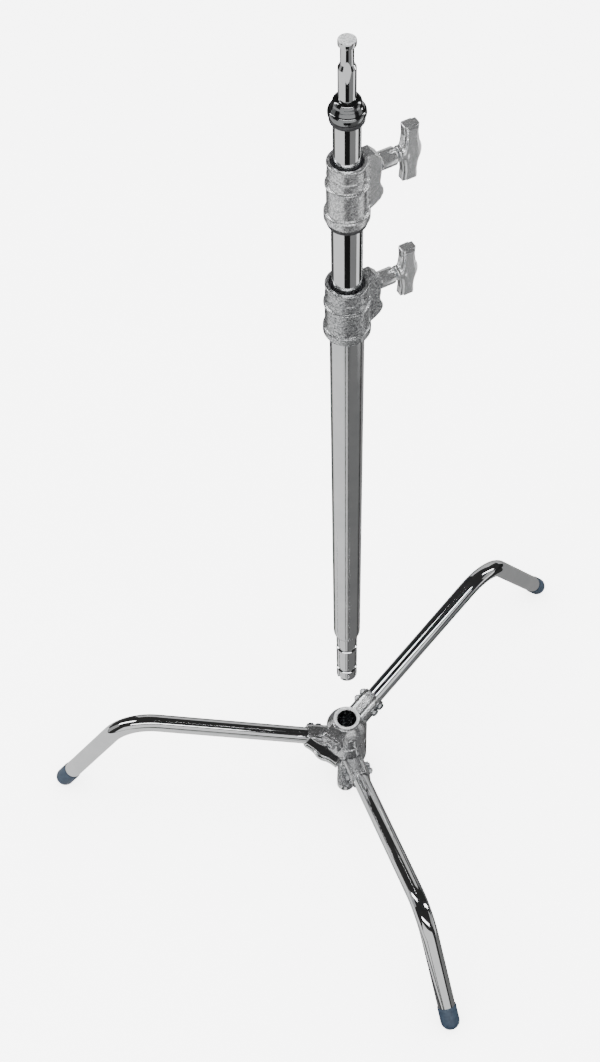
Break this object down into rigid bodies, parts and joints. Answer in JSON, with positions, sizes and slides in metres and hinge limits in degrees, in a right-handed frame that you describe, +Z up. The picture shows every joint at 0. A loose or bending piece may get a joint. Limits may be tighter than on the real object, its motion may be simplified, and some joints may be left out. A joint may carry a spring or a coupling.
{
  "type": "c stand",
  "caption": "Chrome c stand: a telescopic column with T-knob clamps and a stud on top, held clear above a detachable base with three bent folding legs.",
  "frame": {"origin": "on the column axis, at the flat underside of the hub's base cap, 18 mm above the floor", "axes": "+Z up along the column; +X to the right and -Y towards the front, between the left and front legs' sides"},
  "size_m": [0.7671, 0.7559, 1.24],
  "materials": {
    "chrome_tube": "mirror-bright plated steel tube",
    "cast_chrome": "satin plated casting with a fine sand-cast grain",
    "knob_casting": "polished bright die casting",
    "zinc_steel": "machined and zinc-plated",
    "black_rubber": "matt black",
    "nylon": "moulded black nylon",
    "blue_cap": "dark slate-blue moulded plastic"
  },
  "bodies": {
    "base": {"hub_collar": "cast_chrome", "hub_post": "zinc_steel", "hub_base_cap": "cast_chrome", "hub_lower_washer": "nylon", "hub_upper_washer": "nylon", "base_clamp_barrel": "chrome_tube", "right_leg_tube": "chrome_tube", "right_foot": "blue_cap", "right_leg_bolt_1": "zinc_steel", "right_leg_bolt_2": "zinc_steel", "right_leg_nut_1": "zinc_steel", "right_leg_nut_2": "zinc_steel"},
    "left_leg": {"left_leg_socket": "cast_chrome", "left_leg_tube": "chrome_tube", "left_foot": "blue_cap", "left_leg_bolt_1": "zinc_steel", "left_leg_bolt_2": "zinc_steel", "left_leg_nut_1": "zinc_steel", "left_leg_nut_2": "zinc_steel"},
    "front_leg": {"front_leg_socket": "cast_chrome", "front_leg_tube": "chrome_tube", "front_foot": "blue_cap", "front_leg_bolt_1": "zinc_steel", "front_leg_bolt_2": "zinc_steel", "front_leg_nut_1": "zinc_steel", "front_leg_nut_2": "zinc_steel"},
    "column": {"base_spigot": "chrome_tube", "outer_tube": "chrome_tube", "lower_collar": "cast_chrome", "lower_collar_bush": "nylon", "lower_clamp_barrel": "chrome_tube"},
    "middle_riser": {"middle_tube": "chrome_tube", "middle_tube_guide": "nylon", "upper_collar": "cast_chrome", "upper_collar_bush": "nylon", "upper_clamp_barrel": "chrome_tube", "upper_bumper_ring": "black_rubber"},
    "top_riser": {"top_tube": "chrome_tube", "top_tube_guide": "nylon", "top_cap": "chrome_tube", "top_pin": "chrome_tube", "top_buffer_ring": "black_rubber"},
    "base_shoe": {"base_brake_shoe": "zinc_steel"},
    "lower_shoe": {"lower_brake_shoe": "zinc_steel"},
    "upper_shoe": {"upper_brake_shoe": "zinc_steel"},
    "base_t_knob": {"base_knob": "knob_casting", "base_clamp_screw": "zinc_steel"},
    "lower_t_knob": {"lower_knob": "knob_casting", "lower_clamp_screw": "zinc_steel"},
    "upper_t_knob": {"upper_knob": "knob_casting", "upper_clamp_screw": "zinc_steel"}
  },
  "joints": [
    {"name": "column_lift", "type": "slide", "parent": "base", "child": "column", "axis": [0, 0, 1], "range_m": [-0.2327, 0.05]},
    {"name": "middle_riser_slide", "type": "slide", "parent": "column", "child": "middle_riser", "axis": [0, 0, 1], "range_m": [-0.0705, 0.38]},
    {"name": "top_riser_slide", "type": "slide", "parent": "middle_riser", "child": "top_riser", "axis": [0, 0, 1], "range_m": [-0.0395, 0.43]},
    {"name": "left_leg_swing", "type": "hinge", "parent": "base", "child": "left_leg", "pos_m": [0, 0, 0.046], "axis": [0, 0, 1], "range_deg": [-134, 0]},
    {"name": "front_leg_swing", "type": "hinge", "parent": "base", "child": "front_leg", "pos_m": [0, 0, 0.016], "axis": [0, 0, 1], "range_deg": [0, 110]},
    {"name": "base_knob_turn", "type": "hinge", "parent": "base_shoe", "child": "base_t_knob", "pos_m": [0, 0, 0.088], "axis": [-0.6018, -0.7986, 0], "range_deg": [0, 360]},
    {"name": "base_shoe_slide", "type": "slide", "parent": "base", "child": "base_shoe", "axis": [-0.6018, -0.7986, 0], "range_m": [0, 0.00175]},
    {"name": "lower_knob_turn", "type": "hinge", "parent": "lower_shoe", "child": "lower_t_knob", "pos_m": [0, 0, 0.949], "axis": [0.866, 0.5, 0], "range_deg": [0, 360]},
    {"name": "lower_shoe_slide", "type": "slide", "parent": "column", "child": "lower_shoe", "axis": [0.866, 0.5, 0], "range_m": [0, 0.00175]},
    {"name": "upper_knob_turn", "type": "hinge", "parent": "upper_shoe", "child": "upper_t_knob", "pos_m": [0, 0, 1.09], "axis": [0.866, 0.5, 0], "range_deg": [0, 360]},
    {"name": "upper_shoe_slide", "type": "slide", "parent": "middle_riser", "child": "upper_shoe", "axis": [0.866, 0.5, 0], "range_m": [0, 0.00175]}
  ],
  "couplings": [
    {"joint": "base_knob_turn", "follows": "base_shoe_slide", "rad_per_m": 3590.4},
    {"joint": "lower_knob_turn", "follows": "lower_shoe_slide", "rad_per_m": 3590.4},
    {"joint": "upper_knob_turn", "follows": "upper_shoe_slide", "rad_per_m": 3590.4}
  ]
}
